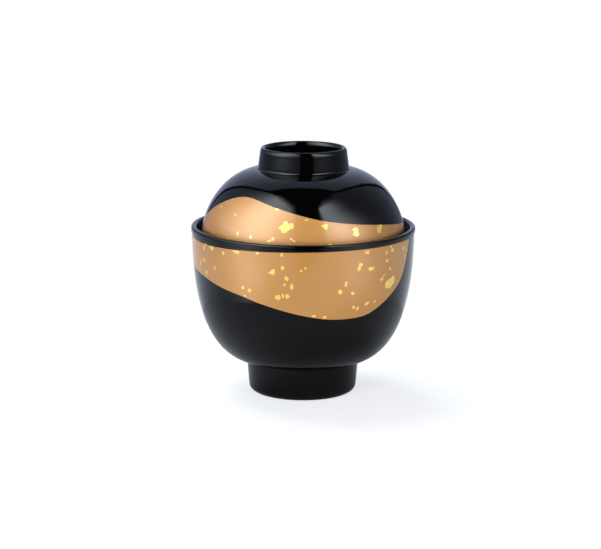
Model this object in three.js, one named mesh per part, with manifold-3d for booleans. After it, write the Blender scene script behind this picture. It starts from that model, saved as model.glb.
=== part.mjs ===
// Soup bowl with a drop-in lid, black lacquer with a gold wave band round the bowl and another round the lid.
// Millimetres, +Z up. The origin is the centre of the foot's flat underside.
// An azimuth is in degrees from the front, which is -Y, and grows towards +X.

import * as THREE from 'three';
import { mergeVertices } from 'three/addons/utils/BufferGeometryUtils.js';
import Module from 'manifold-3d';

// Bowl
const RIM_DIAMETER = 95;
const BOWL_HEIGHT = 71.8;
const LIP_THICKNESS = 2.3;
const RIM_BAND_HEIGHT = 2.6; // thickened band round the mouth, down from the lip's top
const RIM_BAND_PROUD = 0.35;
const WALL_THICKNESS = 4.7;
const FLOOR_THICKNESS = 4;

// Curve of the belly: how far it runs out flat from the foot, and how high up its side it is drawn in
const BELLY_UNDER_REACH = 11.3;
const BELLY_UNDER_RISE = 1.4;
const BELLY_SIDE_RISE = 13.9;
const BELLY_SIDE_INSET = 0.15;
const INSIDE_UNDER_INSET = 1.4;
const INSIDE_SIDE_DROP = 4.6;

// Foot ring
const FOOT_HEIGHT = 14;
const FOOT_TOP_DIAMETER = 47.8;
const FOOT_BOTTOM_DIAMETER = 45.8;
const FOOT_WALL = 5;
const FOOT_OUTER_ROUND = 3;
const FOOT_INNER_ROUND = 0.6;
const FOOT_CEILING_DROP = 1.1; // the foot's hollow ends this far under the belly
const FOOT_CEILING_ROUND = 1.5;

// Lid
const SEAT_DEPTH = 6.3; // the lid's edge lies this far below the bowl's lip
const SEAT_LEDGE = 0.75; // the mouth's cone closes in this far under the lid's edge
const LID_WALL = 2.4;
const LID_SKIRT = 0.3; // straight stretch above the rounded edge
const DOME_HEIGHT = 30.3; // from the lid's edge to the grip's base
const DOME_SIDE_RISE = 10.6;
const DOME_CROWN_REACH = 15.7;
const DOME_CROWN_DROP = 2.3;
const LID_INSIDE_SIDE_RISE = 13;
const LID_INSIDE_CROWN_REACH = 11.5;

// Grip ring on the lid
const GRIP_HEIGHT = 9.2;
const GRIP_BASE_DIAMETER = 38.4;
const GRIP_TOP_DIAMETER = 36.8;
const GRIP_WALL = 2.4;
const GRIP_BASE_FILLET = 1;
const GRIP_RECESS_DEPTH = 7.2;
const GRIP_RECESS_ROUND = 1.5;

// Gold bands, each a thin layer let into the lacquer so that it is flush with the surface
const GOLD_THICKNESS = 0.5;
const GOLD_TOP_MARGIN = 0.5; // black left between the rim's band and the gold
const GOLD_TOP_DIP = 0.9; // the black edge widens by this much on the bowl's left
const GOLD_TOP_DIP_AZIMUTH = -60;
const GOLD_TOP_DIP_SHARPNESS = 8;
const GOLD_BELLY_MARGIN = 25.9; // black below the lowest point of the bowl's wave, down to the foot
const GOLD_SKIRT_MARGIN = 0.7; // black below the lid's gold, down to the lid's skirt
const GOLD_CROWN_MARGIN = 7.9; // black above the highest point of the lid's wave, up to the grip

// Waves: azimuth, and the share of the band's greatest width that is gold there
const BOWL_WAVE = [
  [-222, 0.05], [-190, 0.12], [-150, 0.24], [-110, 0.33], [-76, 0.385], [-62, 0.515], [-45, 0.62],
  [-22, 0.77], [0, 0.92], [12, 0.985], [25, 1], [36, 0.965], [46, 0.85], [55, 0.69], [61, 0.545],
  [65, 0.34], [69.5, 0.05],
];
const LID_WAVE = [
  [-104, 0.05], [-95, 0.2], [-86, 0.39], [-77, 0.545], [-68, 0.735], [-58, 0.89], [-48, 0.985],
  [-39, 1], [-20, 0.885], [0, 0.735], [12, 0.65], [25, 0.57], [50, 0.45], [75, 0.315], [120, 0.2],
  [165, 0.12], [196, 0.05],
];

// Clearances
const LID_CLEARANCE = 0.3; // between the lid's edge and the mouth's cone
const GOLD_CLEARANCE = 0.3; // all round and behind each gold band
const CUTTER_OVERSHOOT = 1; // a recess's cutter stands out of the surface by this much

// Fineness of the turned forms
const TURN_STEPS = 60;
const CURVE_STEPS = 11;
const ROUND_STEPS = 4;
const BAND_ROWS = 5;

// Sizes that follow from those above
const RIM_RADIUS = RIM_DIAMETER / 2;
const WALL_RADIUS = RIM_RADIUS - RIM_BAND_PROUD;
const INSIDE_RADIUS = WALL_RADIUS - WALL_THICKNESS;
const FOOT_TOP_RADIUS = FOOT_TOP_DIAMETER / 2;
const FOOT_BOTTOM_RADIUS = FOOT_BOTTOM_DIAMETER / 2;
const FOOT_CEILING = FOOT_HEIGHT - FOOT_CEILING_DROP;
const FLOOR_HEIGHT = FOOT_CEILING + FLOOR_THICKNESS;
const LID_RADIUS = INSIDE_RADIUS + SEAT_LEDGE;
const SEAT_HEIGHT = BOWL_HEIGHT - SEAT_DEPTH;
const GRIP_BASE_RADIUS = GRIP_BASE_DIAMETER / 2;
const GRIP_TOP_RADIUS = GRIP_TOP_DIAMETER / 2;
const LID_HEIGHT = DOME_HEIGHT + GRIP_HEIGHT;
const GRIP_FLOOR = LID_HEIGHT - GRIP_RECESS_DEPTH;
const LID_EDGE_ROUND = LID_WALL / 2;
const SKIRT_TOP = LID_EDGE_ROUND + LID_SKIRT;
const BOWL_GOLD_TOP = BOWL_HEIGHT - RIM_BAND_HEIGHT - GOLD_TOP_MARGIN;
const BOWL_GOLD_WIDTH = BOWL_GOLD_TOP - FOOT_HEIGHT - GOLD_BELLY_MARGIN;
const LID_GOLD_BASE = SKIRT_TOP + GOLD_SKIRT_MARGIN;
const LID_GOLD_WIDTH = DOME_HEIGHT - GOLD_CROWN_MARGIN - LID_GOLD_BASE;

const lacquer = new THREE.MeshStandardMaterial({ color: 0x0c0c0e, roughness: 0.12, metalness: 0 });
const gold = new THREE.MeshStandardMaterial({ color: 0xbd8c54, roughness: 0.38, metalness: 0.6 });

const wasm = await Module();
wasm.setup();

// Profile helpers: a profile is a list of points, radius and height, from the axis round the section to the axis
const point = (radius, height) => new THREE.Vector2(radius, height);

function curve(from, control, nextControl, to) {
  return new THREE.CubicBezierCurve(from, control, nextControl, to).getPoints(CURVE_STEPS);
}

function arc(centre, radius, fromDegrees, toDegrees) {
  const start = THREE.MathUtils.degToRad(fromDegrees);
  const end = THREE.MathUtils.degToRad(toDegrees);
  const round = new THREE.EllipseCurve(centre.x, centre.y, radius, radius, start, end, end < start);
  return round.getPoints(ROUND_STEPS);
}

function radiusAt(profile, height) {
  const above = profile.findIndex((p) => p.y >= height);
  const high = profile[Math.max(above, 1)];
  const low = profile[Math.max(above, 1) - 1];
  return THREE.MathUtils.mapLinear(height, low.y, high.y, low.x, high.x);
}

// Outlines that the black bodies and their gold bands share
function bellyCurve() {
  return curve(
    point(FOOT_TOP_RADIUS, FOOT_HEIGHT),
    point(FOOT_TOP_RADIUS + BELLY_UNDER_REACH, FOOT_HEIGHT + BELLY_UNDER_RISE),
    point(WALL_RADIUS - BELLY_SIDE_INSET, FOOT_HEIGHT + BELLY_SIDE_RISE),
    point(WALL_RADIUS, BOWL_HEIGHT - RIM_BAND_HEIGHT),
  );
}

function domeCurve() {
  return curve(
    point(LID_RADIUS, SKIRT_TOP),
    point(LID_RADIUS, SKIRT_TOP + DOME_SIDE_RISE),
    point(GRIP_BASE_RADIUS + DOME_CROWN_REACH, DOME_HEIGHT - DOME_CROWN_DROP),
    point(GRIP_BASE_RADIUS + GRIP_BASE_FILLET, DOME_HEIGHT),
  );
}

// Sections of the two black bodies
function footProfile() {
  const inner = FOOT_BOTTOM_RADIUS - FOOT_WALL;
  return [
    point(0, FOOT_CEILING),
    ...arc(point(inner - FOOT_CEILING_ROUND, FOOT_CEILING - FOOT_CEILING_ROUND), FOOT_CEILING_ROUND, 90, 0),
    ...arc(point(inner + FOOT_INNER_ROUND, FOOT_INNER_ROUND), FOOT_INNER_ROUND, 180, 270),
    ...arc(point(FOOT_BOTTOM_RADIUS - FOOT_OUTER_ROUND, FOOT_OUTER_ROUND), FOOT_OUTER_ROUND, 270, 360),
  ];
}

function mouthProfile() {
  const lipRadius = LIP_THICKNESS / 2;
  const seat = point(LID_RADIUS + LID_CLEARANCE, SEAT_HEIGHT);
  const coneTop = point(RIM_RADIUS - LIP_THICKNESS, BOWL_HEIGHT - lipRadius);
  const coneSlope = (coneTop.y - seat.y) / (coneTop.x - seat.x);
  const coneFoot = point(INSIDE_RADIUS, seat.y - (seat.x - INSIDE_RADIUS) * coneSlope);
  return {
    rim: [
      point(RIM_RADIUS, BOWL_HEIGHT - RIM_BAND_HEIGHT + RIM_BAND_PROUD),
      ...arc(point(RIM_RADIUS - lipRadius, BOWL_HEIGHT - lipRadius), lipRadius, 0, 180),
    ],
    coneFoot,
  };
}

function bowlProfile() {
  const { rim, coneFoot } = mouthProfile();
  const inside = curve(
    coneFoot,
    point(INSIDE_RADIUS, FOOT_HEIGHT + BELLY_SIDE_RISE - INSIDE_SIDE_DROP),
    point(FOOT_TOP_RADIUS + BELLY_UNDER_REACH - INSIDE_UNDER_INSET, FLOOR_HEIGHT),
    point(0, FLOOR_HEIGHT),
  );
  return [...footProfile(), ...bellyCurve(), ...rim, ...inside];
}

function gripProfile() {
  const lipRadius = GRIP_WALL / 2;
  const inner = GRIP_TOP_RADIUS - GRIP_WALL;
  const filletCentre = point(GRIP_BASE_RADIUS + GRIP_BASE_FILLET, DOME_HEIGHT + GRIP_BASE_FILLET);
  return [
    ...arc(filletCentre, GRIP_BASE_FILLET, 270, 180).slice(1),
    ...arc(point(GRIP_TOP_RADIUS - lipRadius, LID_HEIGHT - lipRadius), lipRadius, 0, 180),
    ...arc(point(inner - GRIP_RECESS_ROUND, GRIP_FLOOR + GRIP_RECESS_ROUND), GRIP_RECESS_ROUND, 0, -90),
    point(0, GRIP_FLOOR),
  ];
}

function lidProfile() {
  const ceiling = GRIP_FLOOR - LID_WALL;
  const inside = curve(
    point(0, ceiling),
    point(GRIP_BASE_RADIUS + LID_INSIDE_CROWN_REACH, ceiling),
    point(LID_RADIUS - LID_WALL, SKIRT_TOP + LID_INSIDE_SIDE_RISE),
    point(LID_RADIUS - LID_WALL, LID_EDGE_ROUND),
  );
  const edge = arc(point(LID_RADIUS - LID_EDGE_ROUND, LID_EDGE_ROUND), LID_EDGE_ROUND, 180, 360).slice(1);
  return [...inside, ...edge, ...domeCurve(), ...gripProfile()];
}

// Solids
function turned(profile) {
  return new THREE.LatheGeometry(profile, TURN_STEPS).rotateX(Math.PI / 2);
}

function around(azimuth, radius, height) {
  const angle = THREE.MathUtils.degToRad(azimuth);
  return new THREE.Vector3(radius * Math.sin(angle), -radius * Math.cos(angle), height);
}

// A strip that follows a turned surface between two wavy edges. Each section goes up its face and down its back.
function strip({ azimuths, low, high, profile, face, back }) {
  const rows = Array.from({ length: BAND_ROWS + 1 }, (_, row) => row / BAND_ROWS);
  const sections = azimuths.map((azimuth) => {
    const heights = rows.map((row) => THREE.MathUtils.lerp(low(azimuth), high(azimuth), row));
    const side = (inset) => heights.map((z) => around(azimuth, radiusAt(profile, z) - inset, z));
    return [...side(-face), ...side(back).reverse()];
  });
  return loft(sections);
}

function loft(sections) {
  const count = sections[0].length;
  const last = sections.length - 1;
  const index = [];
  for (let s = 0; s < last; s++) {
    for (let i = 0; i < count; i++) {
      const next = (i + 1) % count;
      const [a, b] = [s * count + i, s * count + next];
      const [c, d] = [a + count, b + count];
      index.push(a, c, b, b, c, d);
    }
  }
  for (let i = 0; i < count / 2 - 1; i++) {
    const [a, b] = [i, i + 1];
    const [c, d] = [count - 2 - i, count - 1 - i];
    index.push(a, b, c, a, c, d);
    index.push(...[a, c, b, a, d, c].map((corner) => corner + last * count));
  }
  const geometry = new THREE.BufferGeometry().setFromPoints(sections.flat());
  geometry.setIndex(index);
  return geometry;
}

function solid(geometry) {
  const bare = geometry.clone();
  bare.deleteAttribute('normal');
  bare.deleteAttribute('uv');
  const merged = mergeVertices(bare);
  const corners = Array.from(merged.index.array);
  const kept = [];
  for (let i = 0; i < corners.length; i += 3) {
    const triangle = corners.slice(i, i + 3);
    if (new Set(triangle).size === 3) kept.push(...triangle);
  }
  return new wasm.Manifold(new wasm.Mesh({
    numProp: 3,
    vertProperties: Float32Array.from(merged.attributes.position.array),
    triVerts: Uint32Array.from(kept),
  }));
}

function cut(body, cutter) {
  const mesh = solid(body).subtract(solid(cutter)).getMesh();
  const geometry = new THREE.BufferGeometry();
  geometry.setAttribute('position', new THREE.BufferAttribute(mesh.vertProperties, 3));
  geometry.setIndex(new THREE.BufferAttribute(mesh.triVerts, 1));
  geometry.computeVertexNormals();
  return geometry;
}

// Gold bands and the recesses that they lie in
function waveAlong(wave) {
  const azimuths = wave.map(([azimuth]) => azimuth);
  const values = wave.map(([, value]) => value);
  const spline = new THREE.CubicInterpolant(azimuths, values, 1);
  return (azimuth) => spline.evaluate(azimuth)[0];
}

function bandAzimuths(wave) {
  const first = wave[0][0];
  const last = wave[wave.length - 1][0];
  const step = 360 / TURN_STEPS;
  const azimuths = [first];
  for (let turn = Math.floor(first / step) + 1; turn * step < last; turn++) azimuths.push(turn * step);
  return [...azimuths, last];
}

function goldAndRecess({ wave, low, high, profile, radius }) {
  const azimuths = bandAzimuths(wave);
  const endGap = THREE.MathUtils.radToDeg(GOLD_CLEARANCE / radius);
  const wider = [azimuths[0] - endGap, ...azimuths.slice(1, -1), azimuths[azimuths.length - 1] + endGap];
  const band = strip({ azimuths, low, high, profile, face: 0, back: GOLD_THICKNESS });
  const recess = strip({
    azimuths: wider,
    low: (azimuth) => low(azimuth) - GOLD_CLEARANCE,
    high: (azimuth) => high(azimuth) + GOLD_CLEARANCE,
    profile,
    face: CUTTER_OVERSHOOT,
    back: GOLD_THICKNESS + GOLD_CLEARANCE,
  });
  band.computeVertexNormals();
  return { band, recess };
}

function bowlGold() {
  const share = waveAlong(BOWL_WAVE);
  const dip = (azimuth) => {
    const turn = THREE.MathUtils.degToRad(azimuth - GOLD_TOP_DIP_AZIMUTH);
    return GOLD_TOP_DIP * ((1 + Math.cos(turn)) / 2) ** GOLD_TOP_DIP_SHARPNESS;
  };
  return goldAndRecess({
    wave: BOWL_WAVE,
    low: (azimuth) => BOWL_GOLD_TOP - BOWL_GOLD_WIDTH * share(azimuth),
    high: (azimuth) => BOWL_GOLD_TOP - dip(azimuth),
    profile: bellyCurve(),
    radius: WALL_RADIUS,
  });
}

function lidGold() {
  const share = waveAlong(LID_WAVE);
  return goldAndRecess({
    wave: LID_WAVE,
    low: () => LID_GOLD_BASE,
    high: (azimuth) => LID_GOLD_BASE + LID_GOLD_WIDTH * share(azimuth),
    profile: domeCurve(),
    radius: LID_RADIUS,
  });
}

// Assembly
function named(name, geometry, material) {
  const mesh = new THREE.Mesh(geometry, material);
  mesh.name = name;
  return mesh;
}

function makeBowl() {
  const { band, recess } = bowlGold();
  const group = new THREE.Group();
  group.add(named('bowl', cut(turned(bowlProfile()), recess), lacquer));
  group.add(named('bowl_gold_band', band, gold));
  return group;
}

function makeLid() {
  const { band, recess } = lidGold();
  const group = new THREE.Group();
  group.add(named('lid', cut(turned(lidProfile()), recess), lacquer));
  group.add(named('lid_gold_band', band, gold));
  group.position.z = SEAT_HEIGHT;
  return group;
}

const soupBowl = new THREE.Group();
soupBowl.add(makeBowl(), makeLid());

export default soupBowl;
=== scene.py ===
"""Soup bowl with a drop-in lid: black lacquer, and a gold wave with gold-leaf flakes on each piece.

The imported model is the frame. The bowl and the lid are turned again here with fine steps, at the
same size and in the same place. Lengths are millimetres and angles are degrees, except where a
comment says otherwise. They become metres and radians where a mesh, lamp or camera is made. An
azimuth is measured from the front, which is -Y, and grows towards +X.
"""
import math
import random

import bmesh
import bpy
import numpy as np
from mathutils import Matrix, Vector


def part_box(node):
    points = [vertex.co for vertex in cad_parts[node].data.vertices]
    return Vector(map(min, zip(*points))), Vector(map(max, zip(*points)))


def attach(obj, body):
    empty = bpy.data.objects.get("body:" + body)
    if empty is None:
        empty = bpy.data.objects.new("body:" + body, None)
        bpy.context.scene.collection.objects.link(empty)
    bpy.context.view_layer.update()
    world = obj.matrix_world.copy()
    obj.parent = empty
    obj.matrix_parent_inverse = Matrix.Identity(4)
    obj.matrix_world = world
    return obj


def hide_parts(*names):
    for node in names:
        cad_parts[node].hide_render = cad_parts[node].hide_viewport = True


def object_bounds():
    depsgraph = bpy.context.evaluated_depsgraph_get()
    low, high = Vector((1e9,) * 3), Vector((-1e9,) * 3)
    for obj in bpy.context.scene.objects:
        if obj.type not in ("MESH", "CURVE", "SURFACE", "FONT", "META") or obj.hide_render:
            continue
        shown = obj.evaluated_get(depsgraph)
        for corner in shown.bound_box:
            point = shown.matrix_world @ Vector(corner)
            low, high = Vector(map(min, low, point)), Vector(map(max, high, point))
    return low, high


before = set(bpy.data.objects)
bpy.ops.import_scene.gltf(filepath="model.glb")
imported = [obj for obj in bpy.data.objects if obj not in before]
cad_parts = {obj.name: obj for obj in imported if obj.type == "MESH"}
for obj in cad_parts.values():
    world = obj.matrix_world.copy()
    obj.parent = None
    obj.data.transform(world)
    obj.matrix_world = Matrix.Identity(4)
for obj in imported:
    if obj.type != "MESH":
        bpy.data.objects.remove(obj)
cad_low, cad_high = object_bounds()

MM = 0.001
bowl_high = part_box("bowl")[1]
lid_low, lid_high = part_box("lid")

# Bowl. The rows for belly and inside place the control points of its two curves.
RIM_RADIUS = bowl_high.x / MM
BOWL_HEIGHT = bowl_high.z / MM
LIP_THICKNESS = 2.3
RIM_BAND_HEIGHT = 2.6
RIM_BAND_PROUD = 0.35
RIM_LIP_RISE = 0.8
WALL_THICKNESS = 4.7
FLOOR_THICKNESS = 4
BELLY_UNDER_REACH = 11.3
BELLY_UNDER_RISE = 1.4
BELLY_SIDE_RISE = 13.9
BELLY_SIDE_INSET = 0.15
INSIDE_UNDER_INSET = 1.4
INSIDE_SIDE_DROP = 4.6

# Foot ring
FOOT_HEIGHT = 14
FOOT_TOP_RADIUS = 23.9
FOOT_BOTTOM_RADIUS = 22.9
FOOT_WALL = 5
FOOT_OUTER_ROUND = 3
FOOT_INNER_ROUND = 0.6
FOOT_CEILING_DROP = 1.1
FOOT_CEILING_ROUND = 1.5

# Lid, with heights from the lid's edge. The rows for dome and inside place control points too.
LID_RADIUS = lid_high.x / MM
LID_EDGE_HEIGHT = lid_low.z / MM
LID_HEIGHT = (lid_high.z - lid_low.z) / MM
LID_CLEARANCE = 0.3
LID_WALL = 2.4
LID_SKIRT = 0.3
DOME_SIDE_RISE = 10.6
DOME_CROWN_REACH = 15.7
DOME_CROWN_DROP = 2.3
LID_INSIDE_SIDE_RISE = 13
LID_INSIDE_CROWN_REACH = 11.5

# Grip ring
GRIP_HEIGHT = 9.2
GRIP_BASE_RADIUS = 19.2
GRIP_TOP_RADIUS = 18.4
GRIP_WALL = 2.4
GRIP_LIP_RISE = 2.1
GRIP_BASE_FILLET = 1
GRIP_RECESS_DEPTH = 7.2
GRIP_RECESS_ROUND = 1.5

# Gold bands. The bowl's upper edge runs along the mouth's band and dips at one azimuth.
GOLD_RIM_GAP = 0.1
GOLD_TOP_MARGIN = 0.5
GOLD_TOP_DIP = 1.3
GOLD_TOP_DIP_AZIMUTH = -60
GOLD_TOP_DIP_SHARPNESS = 8
GOLD_BELLY_MARGIN = 25.9
GOLD_SKIRT_MARGIN = 0.7
GOLD_CROWN_MARGIN = 7.9

# Skin of gold: how far its face stands above the black, and its back lies below it
GOLD_PROUD = 0.04
GOLD_SUNK = 0.2

# Waves: azimuth, and the share of the band's greatest width that is gold there
BOWL_WAVE = [
    (-222, 0), (-190, 0.13), (-150, 0.28), (-110, 0.4), (-78, 0.458), (-70, 0.486), (-62, 0.522),
    (-45, 0.619), (-33, 0.683), (-22, 0.767), (0, 0.917), (12, 0.975), (24, 0.991), (36, 0.959),
    (46, 0.838), (55, 0.682), (61, 0.535), (65, 0.34), (69, 0.05),
]
LID_WAVE = [
    (-104, 0.05), (-95, 0.2), (-86, 0.39), (-77, 0.545), (-68, 0.735), (-58, 0.885), (-48, 0.979),
    (-39, 0.995), (-20, 0.879), (0, 0.72), (12, 0.63), (25, 0.56), (50, 0.447), (75, 0.335),
    (120, 0.2), (165, 0.12), (196, 0.05),
]

# Outlines of the larger flakes, drawn in a box from about -1 to 1
STAR = [
    (-1, -0.12), (-0.67, 0.24), (-0.36, 0.5), (-0.42, 0.78), (0, 1.04), (0.16, 0.78), (0.29, 0.53),
    (0.68, 0.7), (0.94, 0.53), (1, 0.08), (0.94, -0.24), (0.75, -0.21), (0.48, -0.42),
    (0.23, -0.62), (0.06, -0.91), (-0.29, -0.96), (-0.64, -0.88), (-0.52, -0.59), (-0.75, -0.37),
]
PETAL = [
    (0.66, 1.04), (0.9, 0.58), (0.98, 0.17), (0.84, -0.24), (0.56, -0.53), (0.32, -0.8),
    (0.02, -0.97), (-0.46, -0.92), (-0.86, -0.83), (-0.94, -0.46), (-1, -0.08), (-0.8, 0.24),
    (-0.42, 0.51), (-0.08, 0.64), (0.26, 0.71), (0.42, 0.96),
]
WEDGE = [
    (-1, 0.45), (-0.3, 0.75), (0.5, 0.95), (1, 0.9), (0.95, 0.1), (0.7, -0.95), (0.1, -0.7),
    (-0.5, -0.05),
]
CORNER = [
    (-1, -0.45), (-0.45, 0.1), (0.2, 0.85), (0.75, 1), (1, 0.4), (0.9, -0.7), (0.5, -1),
    (-0.2, -0.85),
]
DROP = [
    (-0.25, 1), (0.25, 0.9), (0.75, 0.25), (1, -0.4), (0.6, -0.9), (0, -1), (-0.7, -0.75),
    (-0.9, -0.1), (-0.6, 0.5),
]

# Flakes of gold leaf: azimuth, height from the foot or the lid's edge, width, length, lean to the
# right, and an outline where it isn't a ragged scrap
BOWL_FLAKES = [
    (-60.5, 66, 1.6, 2, 0), (-53.6, 66.8, 3.9, 2.1, 0, WEDGE), (-44, 66, 1.6, 1.7, 0),
    (-35.8, 67.4, 4, 1.5, 0, WEDGE), (-60.7, 60.7, 2.4, 1.8, 0), (-65.5, 59, 1.4, 2.3, 0),
    (-50.8, 59, 1.4, 1.8, 0), (-59, 55.8, 1.4, 2.1, -15), (-32, 52.7, 1.5, 1.6, 0),
    (-28, 52, 1.6, 1.8, 0), (-31, 49.4, 1.4, 0.7, 0), (-23.2, 67.9, 1.7, 1.2, 0),
    (-10.6, 67.8, 1.2, 1.9, 0), (-15.7, 60.7, 2.9, 2.5, 0, CORNER), (-10.2, 62.6, 1.7, 1.9, 0),
    (-8.2, 58, 1.6, 2.3, -40), (-9.2, 55.5, 1.2, 1, 0), (-5.6, 54.9, 1.6, 2.7, 0, DROP),
    (-12.7, 50, 2.8, 2.4, 0), (-10.1, 50.8, 1, 2, -15), (-7.9, 50.6, 2.1, 2.4, 0),
    (-0.9, 61.5, 1.2, 1.5, 40), (1.2, 62.6, 1, 1.3, 0), (5.8, 42.2, 2, 1.1, 0),
    (11.5, 41.6, 2, 1.2, 0), (29.9, 62.8, 2, 2, 0), (29, 61.3, 1.8, 2.2, 0),
    (36.3, 60.6, 3.6, 2, 0), (33.3, 67.6, 2.6, 1.9, 0, WEDGE), (50.7, 53.2, 6.4, 5.2, 0, PETAL),
    (43.8, 55.4, 1.9, 1.6, 0), (45.3, 56.7, 0.8, 2.2, 40), (51.3, 66.8, 2.2, 1.8, 0),
    (50, 68.3, 1.4, 1.1, 0), (62, 66.2, 1.6, 2.4, 25), (66, 64.8, 1.2, 1.8, 0),
    (46.6, 66.4, 1.2, 1.8, 0), (47.2, 62.9, 1.9, 1.3, 0), (50, 59.2, 1.2, 1.8, 0),
    (22.1, 55.3, 1.2, 2.7, 8), (19.1, 52.1, 2, 2.3, 0), (26, 51.1, 2, 1.4, 20),
    (35.4, 45.9, 1.3, 3, 65), (40.5, 46.2, 1, 1.6, 0), (27.2, 45.1, 1.9, 1.3, 0),
    (29.6, 44.4, 1.2, 2.2, 25), (64.5, 62.5, 1.4, 0.8, 0), (-58.8, 67.6, 1.5, 1.1, -30),
    (-74.5, 67.3, 1.6, 1.6, 0),
]
LID_FLAKES = [
    (-9.9, 12.6, 6.3, 5.2, 0, STAR), (-16.8, 19.1, 1.5, 1.1, 20), (-45, 15.4, 1.6, 1, 0),
    (-62, 17, 2.4, 0.8, 0), (-39.5, 8.4, 1, 2, 0), (-30.3, 7.7, 1.3, 1.7, 0),
    (-18.8, 6.9, 2.2, 0.9, -15), (-16.9, 7.8, 1.2, 1.6, 15), (-6.6, 8.1, 1, 1.3, -20),
    (-5.1, 7.4, 1.6, 0.8, 15), (-46.5, 5.8, 1.2, 0.8, 0), (12.2, 12.7, 2.7, 2.6, 0, WEDGE),
    (30.9, 10.7, 3, 2.4, 0), (31.1, 9.4, 3.2, 2.6, 0), (49, 10.4, 4, 2.4, 0),
    (48.2, 9.1, 2.6, 2, 0), (14.8, 5.8, 1.7, 0.7, 0), (1.8, 15.5, 1.6, 1.1, 0),
    (66.5, 8.7, 0.9, 0.9, 0),
]

# All flakes: how far the face stands above the black, how far the back lies below it, the crumple
# of the face, how far out its two rings are, and the seed of the chance in them
LEAF_LIFT = 0.08
LEAF_SUNK = 0.05
LEAF_CRUMPLE = 0.02
LEAF_RING_REACHES = (0.5, 1)
LEAF_SEED = 11

# Ragged scraps: the fewest corners, and how far a corner strays along the outline and in or out
LEAF_FEWEST_CORNERS = 7
LEAF_CORNER_SHIFT = 0.25
LEAF_RAGGED = 0.4
LEAF_REACH_SPREAD = (-0.7, 0.3)

# Flakes out of sight, scattered along the thin ends of the bands
BOWL_TAIL = (-212, -76)
BOWL_TAIL_FLAKES = 22
LID_TAIL = (78, 182)
LID_TAIL_FLAKES = 10
TAIL_FLAKE_SIZES = (0.9, 2.6)
TAIL_FLAKE_STRETCH = (0.6, 1.4)
TAIL_FLAKE_LEAN = 45
TAIL_EDGE_MARGIN = 0.8

# Fineness of the meshes, and what counts as sharp, as a gap or as the same point
TURN_STEPS = 240
CURVE_STEPS = 64
ROUND_STEPS = 10
LINE_STEPS = 6
BAND_STEP = 1.0
BAND_ROWS = 20
SHARP_ANGLE = 40
SLOPE_STEP = 0.05
GAP_TO_FILL = 1
SAME_POINT = 0.001

# Middle range of a noise's values, as roughness and as a tint take it
NOISE_RANGE = (0.3, 0.7)
TINT_RANGE = (0.35, 0.65)

# Camera. The focal length and the shift are in pixels of a picture of this width.
IMAGE_WIDTH = 601
CAMERA_DISTANCE = 912
CAMERA_HEIGHT = 243.5
CAMERA_AIM_HEIGHT = 50.9
CAMERA_ROLL = 0.3
SENSOR_WIDTH = 36
FOCAL_PIXELS = 2186.7
SHIFT_PIXELS = (-2.5, -2.0)

# Light tent, the studio that the gloss shows: dark, apart from what follows
TENT_RADIUS = 750
TENT_CENTRE_HEIGHT = 85
TENT_LOWEST = -60
TENT_STEP = 0.8
TENT_DARK = (0.01, 0.01, 0.012)

# Dim back of the tent, from an azimuth round: its slanting top, and its gap from the softboxes
TENT_BACK = (0.5, 0.58, 0.78)
TENT_BACK_FROM = 105
TENT_BACK_STEEPNESS = 4.7
TENT_BACK_GAP = 1.9
TENT_BACK_FADE = 1.5

# Pale table far off: its far edge, the bright patches that the softboxes leave on it, a dimmer near
# part, and a dip of the far edge at the front
TENT_TABLE = (0.82, 0.9, 0.99)
TENT_TABLE_TOP = -7
TENT_TABLE_FADE = 6
TENT_TABLE_SPREAD = 18
TENT_TABLE_NEAR = -19
TENT_TABLE_NEAR_FADE = 10
TENT_TABLE_NEAR_DIM = 0.5
TENT_TABLE_DIP = 10
TENT_TABLE_DIP_SPREAD = 16

# Softboxes. An azimuth counts to the softbox's own side.
#   centre: azimuth and elevation of the brightest part
#   lean: elevation below which that part moves to the back, and by how much for each degree down
#   front, back and below: degrees over which the light falls off to that side
#   falloff: how suddenly it falls off below
#   peak and rest: light that the brightest part adds, and light all over
#   on_table: azimuth of the bright patch on the table, and the light that it adds
#   edge: points by azimuth and elevation, and the degrees over which the light grows inwards
LEFT_SOFTBOX = {
    "side": -1,
    "centre": (58, 35),
    "lean": (18, 0.85),
    "front": 31,
    "back": 34,
    "below": 28,
    "falloff": 7.5,
    "peak": (6.5, 6.95, 7.3),
    "rest": (0.25, 0.3, 0.42),
    "on_table": (58, 2.2),
    "edge": [
        (1, -90, 8), (3, -12, 8), (6, 50, 6), (15, 64.5, 8), (38, 71.5, 8), (60, 73.5, 8),
        (80, 73, 6), (103, 66.5, 2), (115, 60, 1.5), (124.5, 52, 1.5), (132.5, 43.5, 1.5),
        (138, 35, 1.5), (142, 27, 1.5), (144.5, 20.5, 1.5), (148, 13, 1.5), (152, 0, 1.5),
        (155, -16, 2), (160, -90, 2),
    ],
}
RIGHT_SOFTBOX = {
    "side": 1,
    "centre": (38, 46),
    "lean": (46, 0.5),
    "front": 26,
    "back": 23,
    "below": 35.5,
    "falloff": 7.5,
    "peak": (6.1, 6.55, 6.9),
    "rest": (0.25, 0.27, 0.35),
    "on_table": (54, 1.3),
    "edge": [
        (19, -90, 6), (21, -12, 6), (22.5, 45, 5), (24, 54, 3), (26.5, 60, 3), (33, 65, 8),
        (45, 70, 11), (66, 72, 11.5), (88, 71.5, 6), (106, 68, 2), (115, 61.5, 1.5),
        (128, 53.5, 1.5), (136, 44.5, 1.5), (144, 34, 1.5), (148, 24.5, 1.5), (153, 14, 1.5),
        (156.5, 6, 1.5), (159, -16, 2), (163, -90, 2),
    ],
}

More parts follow.
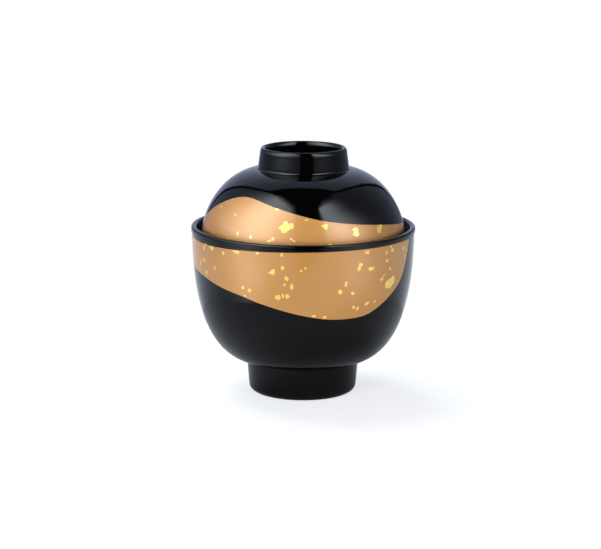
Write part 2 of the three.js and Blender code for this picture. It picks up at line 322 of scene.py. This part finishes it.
# Floor, a hair below the foot. It glows for the camera, in the gloss, and on matt surfaces.
FLOOR_RADIUS = 130
FLOOR_SIDES = 72
FLOOR_GAP = 0.05
FLOOR_COLOUR = (0.68, 0.75, 0.86)
FLOOR_GLOW = 0.7
FLOOR_MIRRORED_GLOW = 0.13
FLOOR_BOUNCE = 0.2

# Light on matt surfaces: the room's own, and lamps at one distance
AMBIENT = 0.15
LAMP_DISTANCE = 900


# Profiles: lists of points, radius and height
def line(start, end):
    points = []
    for step in range(LINE_STEPS + 1):
        radius = start[0] + (end[0] - start[0]) * step / LINE_STEPS
        height = start[1] + (end[1] - start[1]) * step / LINE_STEPS
        points.append((radius, height))
    return points


def arc(centre, radius, start, end, rise=None):
    """Part of a circle, or of an ellipse of that rise."""
    points = []
    for step in range(ROUND_STEPS + 1):
        angle = math.radians(start + (end - start) * step / ROUND_STEPS)
        across = radius * math.cos(angle)
        up = (rise or radius) * math.sin(angle)
        points.append((centre[0] + across, centre[1] + up))
    return points


def bezier(start, control, next_control, end):
    corners = (start, control, next_control, end)
    points = []
    for step in range(CURVE_STEPS + 1):
        t = step / CURVE_STEPS
        weights = ((1 - t) ** 3, 3 * (1 - t) ** 2 * t, 3 * (1 - t) * t ** 2, t ** 3)
        radius = sum(weight * corner[0] for weight, corner in zip(weights, corners))
        height = sum(weight * corner[1] for weight, corner in zip(weights, corners))
        points.append((radius, height))
    return points


def joined(*stretches):
    """One profile from stretches in a row, with straight lines between them and no doubled point."""
    profile = list(stretches[0])
    for stretch in stretches[1:]:
        if math.dist(profile[-1], stretch[0]) > GAP_TO_FILL:
            profile += line(profile[-1], stretch[0])[1:-1]
        profile += [p for p in stretch if math.dist(p, profile[-1]) > SAME_POINT]
    return profile


def belly_curve():
    """The bowl's outside, from the foot's top to the mouth's band."""
    wall_radius = RIM_RADIUS - RIM_BAND_PROUD
    return bezier(
        (FOOT_TOP_RADIUS, FOOT_HEIGHT),
        (FOOT_TOP_RADIUS + BELLY_UNDER_REACH, FOOT_HEIGHT + BELLY_UNDER_RISE),
        (wall_radius - BELLY_SIDE_INSET, FOOT_HEIGHT + BELLY_SIDE_RISE),
        (wall_radius, BOWL_HEIGHT - RIM_BAND_HEIGHT),
    )


def dome_curve():
    """The lid's outside, from its skirt to the grip ring."""
    dome_height = LID_HEIGHT - GRIP_HEIGHT
    skirt_top = LID_WALL / 2 + LID_SKIRT
    return bezier(
        (LID_RADIUS, skirt_top),
        (LID_RADIUS, skirt_top + DOME_SIDE_RISE),
        (GRIP_BASE_RADIUS + DOME_CROWN_REACH, dome_height - DOME_CROWN_DROP),
        (GRIP_BASE_RADIUS + GRIP_BASE_FILLET, dome_height),
    )


def foot_profile():
    """From the middle of the foot's hollow, down its inside and round its underside."""
    inner = FOOT_BOTTOM_RADIUS - FOOT_WALL
    ceiling = FOOT_HEIGHT - FOOT_CEILING_DROP
    return joined(
        [(0, ceiling)],
        arc((inner - FOOT_CEILING_ROUND, ceiling - FOOT_CEILING_ROUND), FOOT_CEILING_ROUND, 90, 0),
        arc((inner + FOOT_INNER_ROUND, FOOT_INNER_ROUND), FOOT_INNER_ROUND, 180, 270),
        arc((FOOT_BOTTOM_RADIUS - FOOT_OUTER_ROUND, FOOT_OUTER_ROUND), FOOT_OUTER_ROUND, 270, 360),
    )


def bowl_profile():
    """From the underside's middle, up the outside and over the lip to the middle of the inside."""
    lip_radius = LIP_THICKNESS / 2
    lip = (RIM_RADIUS - lip_radius, BOWL_HEIGHT - RIM_LIP_RISE)
    inside_radius = RIM_RADIUS - RIM_BAND_PROUD - WALL_THICKNESS
    floor = FOOT_HEIGHT - FOOT_CEILING_DROP + FLOOR_THICKNESS
    seat = (LID_RADIUS + LID_CLEARANCE, LID_EDGE_HEIGHT)
    cone_top = (RIM_RADIUS - LIP_THICKNESS, BOWL_HEIGHT - RIM_LIP_RISE)
    cone_slope = (cone_top[1] - seat[1]) / (cone_top[0] - seat[0])
    cone_foot = (inside_radius, seat[1] - (seat[0] - inside_radius) * cone_slope)
    return joined(
        foot_profile(),
        belly_curve(),
        [(RIM_RADIUS, BOWL_HEIGHT - RIM_BAND_HEIGHT + RIM_BAND_PROUD)],
        arc(lip, lip_radius, 0, 180, RIM_LIP_RISE),
        bezier(
            cone_foot,
            (inside_radius, FOOT_HEIGHT + BELLY_SIDE_RISE - INSIDE_SIDE_DROP),
            (FOOT_TOP_RADIUS + BELLY_UNDER_REACH - INSIDE_UNDER_INSET, floor),
            (0, floor),
        ),
    )


def lid_profile():
    """From the middle of the ceiling, round the edge and up to the middle of the grip's recess."""
    edge_round = LID_WALL / 2
    grip_round = GRIP_WALL / 2
    dome_height = LID_HEIGHT - GRIP_HEIGHT
    recess_floor = LID_HEIGHT - GRIP_RECESS_DEPTH
    recess_radius = GRIP_TOP_RADIUS - GRIP_WALL
    ceiling = recess_floor - LID_WALL
    inside = bezier(
        (0, ceiling),
        (GRIP_BASE_RADIUS + LID_INSIDE_CROWN_REACH, ceiling),
        (LID_RADIUS - LID_WALL, edge_round + LID_SKIRT + LID_INSIDE_SIDE_RISE),
        (LID_RADIUS - LID_WALL, edge_round),
    )
    fillet = (GRIP_BASE_RADIUS + GRIP_BASE_FILLET, dome_height + GRIP_BASE_FILLET)
    grip_lip = (GRIP_TOP_RADIUS - grip_round, LID_HEIGHT - GRIP_LIP_RISE)
    recess_corner = (recess_radius - GRIP_RECESS_ROUND, recess_floor + GRIP_RECESS_ROUND)
    return joined(
        inside,
        arc((LID_RADIUS - edge_round, edge_round), edge_round, 180, 360),
        dome_curve(),
        arc(fillet, GRIP_BASE_FILLET, 270, 180),
        arc(grip_lip, grip_round, 0, 180, GRIP_LIP_RISE),
        arc(recess_corner, GRIP_RECESS_ROUND, 0, -90),
        [(0, recess_floor)],
    )


def raised(profile, height):
    return [(radius, z + height) for radius, z in profile]


def radius_at(outline, height):
    """Radius of an outline, listed upwards, at a height."""
    for (low_radius, low), (high_radius, high) in zip(outline, outline[1:]):
        if height <= high:
            break
    return low_radius + (high_radius - low_radius) * (height - low) / (high - low)


def tilt_at(outline, height):
    """Angle, in radians, by which the outline's surface looks up."""
    below = radius_at(outline, height - SLOPE_STEP)
    above = radius_at(outline, height + SLOPE_STEP)
    return math.atan2(below - above, 2 * SLOPE_STEP)


# Meshes
def around(azimuth, radius, height):
    """Point in metres, from its azimuth, its distance from the axis and its height."""
    angle = math.radians(azimuth)
    return Vector((radius * math.sin(angle), -radius * math.cos(angle), height)) * MM


def make_piece(name, vertices, faces, material, body, slot, stands_for=None, smooth=True):
    """A piece of the object that rides on a body, and stands for a CAD node where one is named."""
    mesh = bpy.data.meshes.new(name)
    mesh.from_pydata(vertices, [], faces)
    cleaner = bmesh.new()
    cleaner.from_mesh(mesh)
    bmesh.ops.recalc_face_normals(cleaner, faces=cleaner.faces)
    cleaner.to_mesh(mesh)
    cleaner.free()
    if smooth:
        mesh.shade_smooth()
        mesh.set_sharp_from_angle(angle=math.radians(SHARP_ANGLE))
    mesh.materials.append(material)
    piece = bpy.data.objects.new(name, mesh)
    bpy.context.collection.objects.link(piece)
    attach(piece, body)
    if stands_for:
        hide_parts(stands_for)


def turned(profile):
    """Vertices and faces of a closed turned form, whose profile starts and ends on the axis."""
    rings = profile[1:-1]
    vertices = [around(0, *profile[0]), around(0, *profile[-1])]
    first = len(vertices)
    last = first + (len(rings) - 1) * TURN_STEPS
    for radius, height in rings:
        for step in range(TURN_STEPS):
            vertices.append(around(360 * step / TURN_STEPS, radius, height))
    faces = []
    for step in range(TURN_STEPS):
        after = (step + 1) % TURN_STEPS
        faces.append((0, first + step, first + after))
        faces.append((1, last + after, last + step))
        for low in range(first, last, TURN_STEPS):
            high = low + TURN_STEPS
            faces.append((low + step, high + step, high + after, low + after))
    return vertices, faces


def wave_along(wave):
    """Smooth curve through the wave's points, level at both ends."""
    slopes = [0.0] * len(wave)
    for i in range(1, len(wave) - 1):
        (a, u), (b, v), (c, w) = wave[i - 1:i + 2]
        slopes[i] = ((v - u) / (b - a) + (w - v) / (c - b)) / 2

    def share(azimuth):
        for i in range(len(wave) - 1):
            if azimuth <= wave[i + 1][0]:
                break
        (start, low), (end, high) = wave[i], wave[i + 1]
        width = end - start
        t = (azimuth - start) / width
        level = low * (1 + 2 * t) * (1 - t) ** 2 + high * (3 - 2 * t) * t ** 2
        return level + width * (slopes[i] * t * (1 - t) ** 2 - slopes[i + 1] * (1 - t) * t ** 2)

    return share


class Band:
    """A gold band: where it starts and ends, the outline that it lies on, and its two edges."""

    def __init__(self, wave, outline, low, high):
        self.first, self.last = wave[0][0], wave[-1][0]
        self.outline = outline
        self.low, self.high = low, high

    def place(self, azimuth, height, lift, across=0, up=0):
        """Point on the band's surface, moved over it and lifted off it."""
        tilt = tilt_at(self.outline, height)
        z = height + up * math.cos(tilt)
        radius = radius_at(self.outline, z)
        turned_on = azimuth + math.degrees(across / radius)
        return around(turned_on, radius + lift * math.cos(tilt), z + lift * math.sin(tilt))


def bowl_band():
    share = wave_along(BOWL_WAVE)
    under_rim = BOWL_HEIGHT - RIM_BAND_HEIGHT
    top = under_rim - GOLD_TOP_MARGIN
    width = top - FOOT_HEIGHT - GOLD_BELLY_MARGIN

    def high(azimuth):
        turn = math.radians(azimuth - GOLD_TOP_DIP_AZIMUTH)
        dip = GOLD_TOP_DIP * ((1 + math.cos(turn)) / 2) ** GOLD_TOP_DIP_SHARPNESS
        return under_rim - GOLD_RIM_GAP - dip

    def low(azimuth):
        return top - width * share(azimuth)

    return Band(BOWL_WAVE, belly_curve(), low, high)


def lid_band():
    share = wave_along(LID_WAVE)
    base = LID_WALL / 2 + LID_SKIRT + GOLD_SKIRT_MARGIN
    width = LID_HEIGHT - GRIP_HEIGHT - GOLD_CROWN_MARGIN - base
    bottom = LID_EDGE_HEIGHT + base

    def low(azimuth):
        return bottom

    def high(azimuth):
        return bottom + width * share(azimuth)

    return Band(LID_WAVE, raised(dome_curve(), LID_EDGE_HEIGHT), low, high)


def band_skin(band):
    """Vertices and faces of a thin closed skin. Each section goes up its face and down its back."""
    steps = math.ceil((band.last - band.first) / BAND_STEP)
    rows = [row / BAND_ROWS for row in range(BAND_ROWS + 1)]
    vertices = []
    for step in range(steps + 1):
        azimuth = band.first + (band.last - band.first) * step / steps
        low, high = band.low(azimuth), band.high(azimuth)
        heights = [low + (high - low) * row for row in rows]
        vertices += [band.place(azimuth, z, GOLD_PROUD) for z in heights]
        vertices += [band.place(azimuth, z, -GOLD_SUNK) for z in reversed(heights)]
    count = 2 * len(rows)
    faces = [tuple(range(count)), tuple(steps * count + i for i in reversed(range(count)))]
    for step in range(steps):
        for i in range(count):
            here = step * count + i
            beside = step * count + (i + 1) % count
            faces.append((here, here + count, beside + count, beside))
    return vertices, faces


# Gold leaf
def tail_flakes(band, tail, count, base, dice):
    """Flakes scattered over the part of a band that goes round the back."""
    flakes = []
    for index in range(count):
        azimuth = tail[0] + (tail[1] - tail[0]) * (index + dice.random()) / count
        low = band.low(azimuth) + TAIL_EDGE_MARGIN
        high = band.high(azimuth) - TAIL_EDGE_MARGIN
        size = dice.uniform(*TAIL_FLAKE_SIZES)
        height = low + (high - low) * dice.random() - base
        length = size * dice.uniform(*TAIL_FLAKE_STRETCH)
        lean = dice.uniform(-TAIL_FLAKE_LEAN, TAIL_FLAKE_LEAN)
        flakes.append((azimuth, height, size, length, lean))
    return flakes


def ragged_outline(corners, dice):
    outline = []
    for corner in range(corners):
        shift = dice.uniform(-LEAF_CORNER_SHIFT, LEAF_CORNER_SHIFT)
        angle = 2 * math.pi * (corner + shift) / corners
        reach = 1 + LEAF_RAGGED * dice.uniform(*LEAF_REACH_SPREAD)
        outline.append((reach * math.cos(angle), reach * math.sin(angle)))
    return outline


def leaf_rings(outline, width, length, lean):
    """Offsets across and up of a flake's centre, of a ring half way out, and of its edge."""
    turn = math.radians(-lean)
    offsets = [(0, 0)]
    for reach in LEAF_RING_REACHES:
        for x, y in outline:
            across = reach * x * width / 2
            up = reach * y * length / 2
            turned_across = across * math.cos(turn) - up * math.sin(turn)
            turned_up = across * math.sin(turn) + up * math.cos(turn)
            offsets.append((turned_across, turned_up))
    return offsets


def leaf_faces(face, back, corners):
    """Faces of one flake, whose front and back each have a centre, a ring half way out and an edge."""
    faces = []
    for corner in range(corners):
        here = 1 + corner
        after = 1 + (corner + 1) % corners
        edge_here, edge_after = here + corners, after + corners
        for side in (face, back):
            faces.append((side, side + here, side + after))
            faces.append((side + here, side + edge_here, side + edge_after, side + after))
        faces.append((face + edge_here, back + edge_here, back + edge_after, face + edge_after))
    return faces


def leaf_mesh(band, flakes, base, dice):
    """Vertices and faces of thin closed flakes, each lying on the band."""
    vertices, faces = [], []
    for azimuth, height, width, length, lean, *drawn in flakes:
        corners = LEAF_FEWEST_CORNERS + round(width + length)
        outline = drawn[0] if drawn else ragged_outline(corners, dice)
        offsets = leaf_rings(outline, width, length, lean)
        faces += leaf_faces(len(vertices), len(vertices) + len(offsets), len(outline))
        for lift in (LEAF_LIFT, -LEAF_SUNK):
            for across, up in offsets:
                crumple = dice.uniform(0, LEAF_CRUMPLE) if lift > 0 else 0
                vertices.append(band.place(azimuth, base + height, lift + crumple, across, up))
    return vertices, faces


# Materials
def new_material(name, values):
    """A material, its node tree, and its shader's sockets with these values set."""
    material = bpy.data.materials.new(name)
    material.use_nodes = True
    sockets = material.node_tree.nodes["Principled BSDF"].inputs
    for socket, value in values.items():
        sockets[socket].default_value = value
    return material, material.node_tree, sockets


def noise(tree, scale, detail=2.0):
    """Noise over the object's own coordinates, whose grains are about 1 / scale metres across."""
    place = tree.nodes.new("ShaderNodeTexCoord")
    grain = tree.nodes.new("ShaderNodeTexNoise")
    grain.inputs["Scale"].default_value = scale
    grain.inputs["Detail"].default_value = detail
    tree.links.new(place.outputs["Object"], grain.inputs["Vector"])
    return grain.outputs["Fac"]


def spread(tree, factor, target, low, high):
    """Links a factor, with its middle range stretched from low to high, to a number socket."""
    scale = tree.nodes.new("ShaderNodeMapRange")
    scale.inputs["From Min"].default_value = NOISE_RANGE[0]
    scale.inputs["From Max"].default_value = NOISE_RANGE[1]
    scale.inputs["To Min"].default_value = low
    scale.inputs["To Max"].default_value = high
    tree.links.new(factor, scale.inputs["Value"])
    tree.links.new(scale.outputs["Result"], target)


def tint(tree, factor, target, dark, light):
    """Links a colour between two tones to a colour socket."""
    ramp = tree.nodes.new("ShaderNodeValToRGB")
    for element, position, colour in zip(ramp.color_ramp.elements, TINT_RANGE, (dark, light)):
        element.position = position
        element.color = (*colour, 1)
    tree.links.new(factor, ramp.inputs["Fac"])
    tree.links.new(ramp.outputs["Color"], target)


def dent(tree, height, target, strength, depth):
    """Links a bump of this depth to a normal socket."""
    bump = tree.nodes.new("ShaderNodeBump")
    bump.inputs["Strength"].default_value = strength
    bump.inputs["Distance"].default_value = depth * MM
    tree.links.new(height, bump.inputs["Height"])
    tree.links.new(bump.outputs["Normal"], target)


def black_lacquer():
    """Deep gloss black, with the faint ripple and uneven polish of a sprayed coat."""
    material, tree, sockets = new_material("black_lacquer", {"IOR": 1.33})
    dark, light = (0.001, 0.001, 0.0012), (0.0015, 0.0015, 0.0018)
    tint(tree, noise(tree, scale=60), sockets["Base Color"], dark, light)
    spread(tree, noise(tree, scale=90), sockets["Roughness"], low=0.035, high=0.07)
    dent(tree, noise(tree, scale=420), sockets["Normal"], strength=0.05, depth=0.05)
    return material


def gold_lacquer():
    """Satin bronze-gold pigment under a clear gloss coat."""
    material, tree, sockets = new_material("gold_lacquer", {
        "Metallic": 0.32,
        "Specular IOR Level": 0.0,
        "Coat Weight": 1.0,
        "Coat Roughness": 0.03,
        "Coat IOR": 1.42,
    })
    dark, light = (0.56, 0.277, 0.085), (0.6, 0.299, 0.095)
    tint(tree, noise(tree, scale=45, detail=4), sockets["Base Color"], dark, light)
    spread(tree, noise(tree, scale=2600), sockets["Roughness"], low=0.48, high=0.58)
    dent(tree, noise(tree, scale=5200), sockets["Normal"], strength=0.15, depth=0.03)
    return material


def gold_leaf():
    """Bright crumpled leaf under a clear gloss coat."""
    material, tree, sockets = new_material("gold_leaf", {
        "Metallic": 0.33,
        "Specular IOR Level": 0.0,
        "Coat Weight": 1.0,
        "Coat Roughness": 0.04,
        "Coat IOR": 1.42,
    })
    dark, light = (0.98, 0.61, 0.11), (1.0, 0.71, 0.19)
    tint(tree, noise(tree, scale=700), sockets["Base Color"], dark, light)
    spread(tree, noise(tree, scale=1800), sockets["Roughness"], low=0.25, high=0.45)
    dent(tree, noise(tree, scale=1600), sockets["Normal"], strength=0.3, depth=0.08)
    return material


# Studio
def strength_by_ray(tree, camera, mirrored, other):
    """A strength for camera rays, one for rays that gloss or glass sends on, and one for the rest."""
    path = tree.nodes.new("ShaderNodeLightPath")
    mirror = tree.nodes.new("ShaderNodeMath")
    mirror.operation = "MAXIMUM"
    tree.links.new(path.outputs["Is Glossy Ray"], mirror.inputs[0])
    tree.links.new(path.outputs["Is Transmission Ray"], mirror.inputs[1])
    seen = tree.nodes.new("ShaderNodeMath")
    seen.operation = "MULTIPLY_ADD"
    seen.inputs[1].default_value = camera - other
    seen.inputs[2].default_value = other
    tree.links.new(path.outputs["Is Camera Ray"], seen.inputs[0])
    total = tree.nodes.new("ShaderNodeMath")
    total.operation = "MULTIPLY_ADD"
    total.inputs[1].default_value = mirrored - other
    tree.links.new(mirror.outputs["Value"], total.inputs[0])
    tree.links.new(seen.outputs["Value"], total.inputs[2])
    return total.outputs["Value"]


def make_world():
    world = bpy.data.worlds.new("white_room")
    world.use_nodes = True
    tree = world.node_tree
    background = tree.nodes["Background"]
    background.inputs["Color"].default_value = (1, 1, 1, 1)
    strength = strength_by_ray(tree, camera=1, mirrored=1, other=AMBIENT)
    tree.links.new(strength, background.inputs["Strength"])
    bpy.context.scene.world = world


def floor_material():
    """Pale and matt, with a glow that makes it white to the camera outside the object's shadow."""
    material = bpy.data.materials.new("pale_floor")
    material.use_nodes = True
    tree = material.node_tree
    tree.nodes.remove(tree.nodes["Principled BSDF"])
    lit = tree.nodes.new("ShaderNodeBsdfDiffuse")
    lit.inputs["Color"].default_value = (*FLOOR_COLOUR, 1)
    glow = tree.nodes.new("ShaderNodeEmission")
    strength = strength_by_ray(tree, FLOOR_GLOW, FLOOR_MIRRORED_GLOW, FLOOR_BOUNCE)
    tree.links.new(strength, glow.inputs["Strength"])
    both = tree.nodes.new("ShaderNodeAddShader")
    tree.links.new(lit.outputs["BSDF"], both.inputs[0])
    tree.links.new(glow.outputs["Emission"], both.inputs[1])
    tree.links.new(both.outputs["Shader"], tree.nodes["Material Output"].inputs["Surface"])
    return material


def make_floor():
    mesh = bpy.data.meshes.new("floor")
    turns = [360 * side / FLOOR_SIDES for side in range(FLOOR_SIDES)]
    rim = [around(turn, FLOOR_RADIUS, -FLOOR_GAP) for turn in turns]
    mesh.from_pydata(rim, [], [tuple(range(len(rim)))])
    mesh.materials.append(floor_material())
    floor = bpy.data.objects.new("floor", mesh)
    bpy.context.collection.objects.link(floor)


def mixed(light, other, share):
    """Light on the way to another, by a share from 0 to 1 for each direction."""
    share = np.clip(share, 0, 1)[..., None]
    return light + (np.asarray(other) - light) * share


def depth_inside(edge, side, elevation):
    """Degrees from each direction to a softbox's edge, below 0 outside, and how soft the edge is."""
    squeeze = np.cos(np.radians(elevation))
    nearest, softness = np.full(side.shape, np.inf), np.zeros(side.shape)
    inside = np.zeros(side.shape, bool)
    for (start, low, soft), (end, high, next_soft) in zip(edge, edge[1:]):
        x, y = (start - side) * squeeze, low - elevation
        wide, tall = (end - start) * squeeze, high - low
        along = np.clip(-(x * wide + y * tall) / (wide ** 2 + tall ** 2), 0, 1)
        gap = np.hypot(x + along * wide, y + along * tall)
        softness = np.where(gap < nearest, soft + (next_soft - soft) * along, softness)
        nearest = np.minimum(gap, nearest)
        edge_height = low + (high - low) * (side - start) / (end - start)
        inside ^= ((start > side) != (end > side)) & (edge_height > elevation)
    return np.where(inside, nearest, -nearest), softness


def softbox_light(softbox, side, elevation):
    """Brightest at the softbox's centre and above it, dimmer to the front, to the back and below."""
    azimuth, height = softbox["centre"]
    drop = np.maximum(height - elevation, 0)
    lean_from, lean = softbox["lean"]
    past = side - azimuth - lean * np.maximum(lean_from - elevation, 0)
    ahead = past * np.cos(np.radians(elevation)) / softbox["front"]
    across = np.where(past < 0, ahead, past / softbox["back"])
    share = np.exp(-across ** 2 - (drop / softbox["below"]) ** softbox["falloff"])
    return np.asarray(softbox["rest"]) + np.asarray(softbox["peak"]) * share[..., None]


def tent_light(azimuth, elevation):
    """Light that comes from each direction: dark, softboxes, back and table, laid one on another."""
    light = np.empty((*azimuth.shape, 3))
    light[:] = TENT_DARK
    back_top = np.degrees(np.arctan(-TENT_BACK_STEEPNESS * np.cos(np.radians(azimuth))))
    table = np.empty(light.shape)
    table[:] = TENT_TABLE
    for softbox in (LEFT_SOFTBOX, RIGHT_SOFTBOX):
        side = softbox["side"] * azimuth
        depth, softness = depth_inside(softbox["edge"], side, elevation)
        growth = np.clip(depth / softness, 0, 1) ** 2
        light = mixed(light, softbox_light(softbox, side, elevation), growth)
        behind = np.minimum(-depth - TENT_BACK_GAP, back_top - elevation) / TENT_BACK_FADE
        light = mixed(light, TENT_BACK, np.where(side > TENT_BACK_FROM, behind, 0))
        brightest, extra = softbox["on_table"]
        table += extra * np.exp(-((side - brightest) / TENT_TABLE_SPREAD) ** 2)[..., None]
    near = np.clip((TENT_TABLE_NEAR - elevation) / TENT_TABLE_NEAR_FADE, 0, 1)
    table *= 1 - TENT_TABLE_NEAR_DIM * near[..., None]
    table_top = TENT_TABLE_TOP - TENT_TABLE_DIP * np.exp(-(azimuth / TENT_TABLE_DIP_SPREAD) ** 2)
    return mixed(light, table, (table_top - elevation) / TENT_TABLE_FADE)


def tent_material():
    material = bpy.data.materials.new("tent_light")
    material.use_nodes = True
    tree = material.node_tree
    tree.nodes.remove(tree.nodes["Principled BSDF"])
    glow = tree.nodes.new("ShaderNodeEmission")
    level = tree.nodes.new("ShaderNodeAttribute")
    level.attribute_name = "glow"
    tree.links.new(level.outputs["Color"], glow.inputs["Color"])
    tree.links.new(glow.outputs["Emission"], tree.nodes["Material Output"].inputs["Surface"])
    material.cycles.emission_sampling = "NONE"
    return material


def tent_faces(rows, columns):
    """Faces between one row and the next, and one that closes the top."""
    faces = [tuple((rows - 1) * columns + column for column in range(columns))]
    for row in range(rows - 1):
        for column in range(columns):
            here = row * columns + column
            beside = row * columns + (column + 1) % columns
            faces.append((here, beside, beside + columns, here + columns))
    return faces


def tent_mesh():
    """A ball, open below, that keeps its light at its vertices."""
    columns = round(360 / TENT_STEP)
    rows = round((90 - TENT_LOWEST) / TENT_STEP)
    elevations = TENT_LOWEST + np.arange(rows) * TENT_STEP
    azimuths = np.arange(columns) * TENT_STEP - 180
    elevation, azimuth = np.meshgrid(elevations, azimuths, indexing="ij")
    light = np.ones((rows, columns, 4))
    light[..., :3] = tent_light(azimuth, elevation)
    turn, lift = np.radians(azimuth), np.radians(elevation)
    flat = np.cos(lift)
    height = np.sin(lift) + TENT_CENTRE_HEIGHT / TENT_RADIUS
    spots = np.stack((flat * np.sin(turn), -flat * np.cos(turn), height), axis=-1)
    vertices = spots.reshape(-1, 3) * TENT_RADIUS * MM
    mesh = bpy.data.meshes.new("light_tent")
    mesh.from_pydata(vertices.tolist(), [], tent_faces(rows, columns))
    glow = mesh.attributes.new("glow", "FLOAT_COLOR", "POINT")
    glow.data.foreach_set("color", light.ravel())
    return mesh


def make_tent():
    """The studio that the gloss shows. It lights no matt surface and casts no shadow."""
    mesh = tent_mesh()
    mesh.materials.append(tent_material())
    tent = bpy.data.objects.new("light_tent", mesh)
    bpy.context.collection.objects.link(tent)
    tent.visible_camera = False
    tent.visible_diffuse = False
    tent.visible_transmission = False
    tent.visible_shadow = False


def make_lamp(name, azimuth, elevation, size, watts):
    """A square lamp that lights the matt part of each surface. The gloss shows the tent instead."""
    target = Vector((0, 0, cad_high.z / 2))
    lift = math.radians(elevation)
    offset = around(azimuth, LAMP_DISTANCE * math.cos(lift), LAMP_DISTANCE * math.sin(lift))
    light = bpy.data.lights.new(name, "AREA")
    light.size = size * MM
    light.energy = watts
    lamp = bpy.data.objects.new(name, light)
    lamp.location = target + offset
    lamp.rotation_euler = (-offset).to_track_quat("-Z", "Y").to_euler()
    lamp.visible_camera = False
    lamp.visible_glossy = False
    bpy.context.collection.objects.link(lamp)


def make_lamps():
    make_lamp("key_lamp", azimuth=-36, elevation=2, size=500, watts=4.9)
    make_lamp("fill_lamp", azimuth=34, elevation=2, size=500, watts=4.0)
    make_lamp("back_lamp", azimuth=-140, elevation=62, size=600, watts=4)


def make_camera():
    data = bpy.data.cameras.new("camera")
    data.sensor_width = SENSOR_WIDTH
    data.lens = FOCAL_PIXELS * SENSOR_WIDTH / IMAGE_WIDTH
    data.shift_x, data.shift_y = (shift / IMAGE_WIDTH for shift in SHIFT_PIXELS)
    camera = bpy.data.objects.new("camera", data)
    place = Vector((0, -CAMERA_DISTANCE, CAMERA_HEIGHT))
    look = Vector((0, 0, CAMERA_AIM_HEIGHT)) - place
    turn = look.to_track_quat("-Z", "Y").to_matrix().to_4x4()
    roll = Matrix.Rotation(math.radians(CAMERA_ROLL), 4, "Z")
    camera.matrix_world = Matrix.Translation(place * MM) @ turn @ roll
    bpy.context.collection.objects.link(camera)
    bpy.context.scene.camera = camera


# The object
def make_bowl(black, gold, leaf):
    band = bowl_band()
    dice = random.Random(LEAF_SEED)
    flakes = BOWL_FLAKES + tail_flakes(band, BOWL_TAIL, BOWL_TAIL_FLAKES, 0, dice)
    leaves = leaf_mesh(band, flakes, 0, dice)
    make_piece("bowl_lacquer", *turned(bowl_profile()), black, "bowl", "black_lacquer", "bowl")
    make_piece("bowl_gold_wave", *band_skin(band), gold, "bowl", "gold_lacquer", "bowl_gold_band")
    make_piece("bowl_gold_leaf", *leaves, leaf, "bowl", "gold_lacquer", smooth=False)


def make_lid(black, gold, leaf):
    band = lid_band()
    dice = random.Random(LEAF_SEED)
    flakes = LID_FLAKES + tail_flakes(band, LID_TAIL, LID_TAIL_FLAKES, LID_EDGE_HEIGHT, dice)
    leaves = leaf_mesh(band, flakes, LID_EDGE_HEIGHT, dice)
    profile = raised(lid_profile(), LID_EDGE_HEIGHT)
    make_piece("lid_lacquer", *turned(profile), black, "lid", "black_lacquer", "lid")
    make_piece("lid_gold_wave", *band_skin(band), gold, "lid", "gold_lacquer", "lid_gold_band")
    make_piece("lid_gold_leaf", *leaves, leaf, "lid", "gold_lacquer", smooth=False)


make_camera()
finishes = black_lacquer(), gold_lacquer(), gold_leaf()
make_bowl(*finishes)
make_lid(*finishes)
make_world()
make_floor()
make_tent()
make_lamps()
bpy.context.scene.view_settings.view_transform = "Standard"
